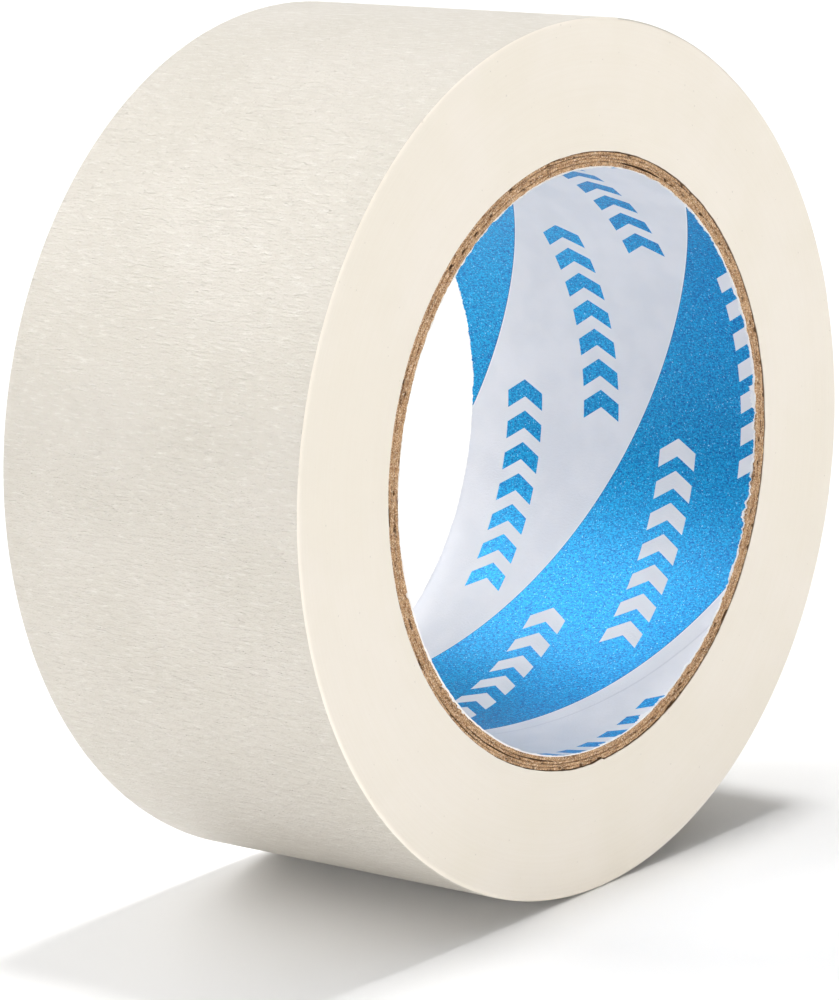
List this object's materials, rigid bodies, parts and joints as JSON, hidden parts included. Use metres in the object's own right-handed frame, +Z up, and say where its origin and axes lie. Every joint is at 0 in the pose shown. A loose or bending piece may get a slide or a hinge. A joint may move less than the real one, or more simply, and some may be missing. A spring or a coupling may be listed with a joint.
{
  "type": "masking tape roll",
  "caption": "Roll of cream crepe-paper masking tape on a kraft board core with a printed paper liner, with a loose tape end that peels up.",
  "frame": {"origin": "on the roll's axis, halfway across the tape's width", "axes": "+Y along the roll's axis, +Z up with the roll standing on its edge"},
  "size_m": [0.114, 0.049, 0.1141],
  "materials": {
    "crepe_tape": "matte crepe paper with a faint sheen",
    "kraft_board": "matte cut fibre",
    "liner_paper": "satin coated paper printed in blue and white stripes"
  },
  "bodies": {
    "roll": {"printed_liner": "liner_paper", "core_ply_1": "kraft_board", "core_ply_2": "kraft_board", "core_ply_3": "kraft_board", "core_ply_4": "kraft_board", "tape_laps": "crepe_tape", "outer_lap": "crepe_tape"},
    "end_1": {"tape_end_1": "crepe_tape"},
    "end_2": {"tape_end_2": "crepe_tape"},
    "end_3": {"tape_end_3": "crepe_tape"},
    "end_4": {"tape_end_4": "crepe_tape"},
    "end_5": {"tape_end_5": "crepe_tape"},
    "end_6": {"tape_end_6": "crepe_tape"}
  },
  "joints": [
    {"name": "peel_1", "type": "hinge", "parent": "roll", "child": "end_1", "pos_m": [0.01477, 0, 0.05513], "axis": [0, -1, 0], "range_deg": [0, 20]},
    {"name": "peel_2", "type": "hinge", "parent": "end_1", "child": "end_2", "pos_m": [0.02412, 0, 0.05173], "axis": [0, -1, 0], "range_deg": [0, 20]},
    {"name": "peel_3", "type": "hinge", "parent": "end_2", "child": "end_3", "pos_m": [0.03274, 0, 0.04676], "axis": [0, -1, 0], "range_deg": [0, 20]},
    {"name": "peel_4", "type": "hinge", "parent": "end_3", "child": "end_4", "pos_m": [0.04037, 0, 0.04037], "axis": [0, -1, 0], "range_deg": [0, 20]},
    {"name": "peel_5", "type": "hinge", "parent": "end_4", "child": "end_5", "pos_m": [0.04677, 0, 0.03275], "axis": [0, -1, 0], "range_deg": [0, 20]},
    {"name": "peel_6", "type": "hinge", "parent": "end_5", "child": "end_6", "pos_m": [0.05175, 0, 0.02413], "axis": [0, -1, 0], "range_deg": [0, 20]}
  ],
  "couplings": [
    {"joint": "peel_2", "follows": "peel_1", "ratio": 1},
    {"joint": "peel_3", "follows": "peel_1", "ratio": 1},
    {"joint": "peel_4", "follows": "peel_1", "ratio": 1},
    {"joint": "peel_5", "follows": "peel_1", "ratio": 1},
    {"joint": "peel_6", "follows": "peel_1", "ratio": 1}
  ]
}
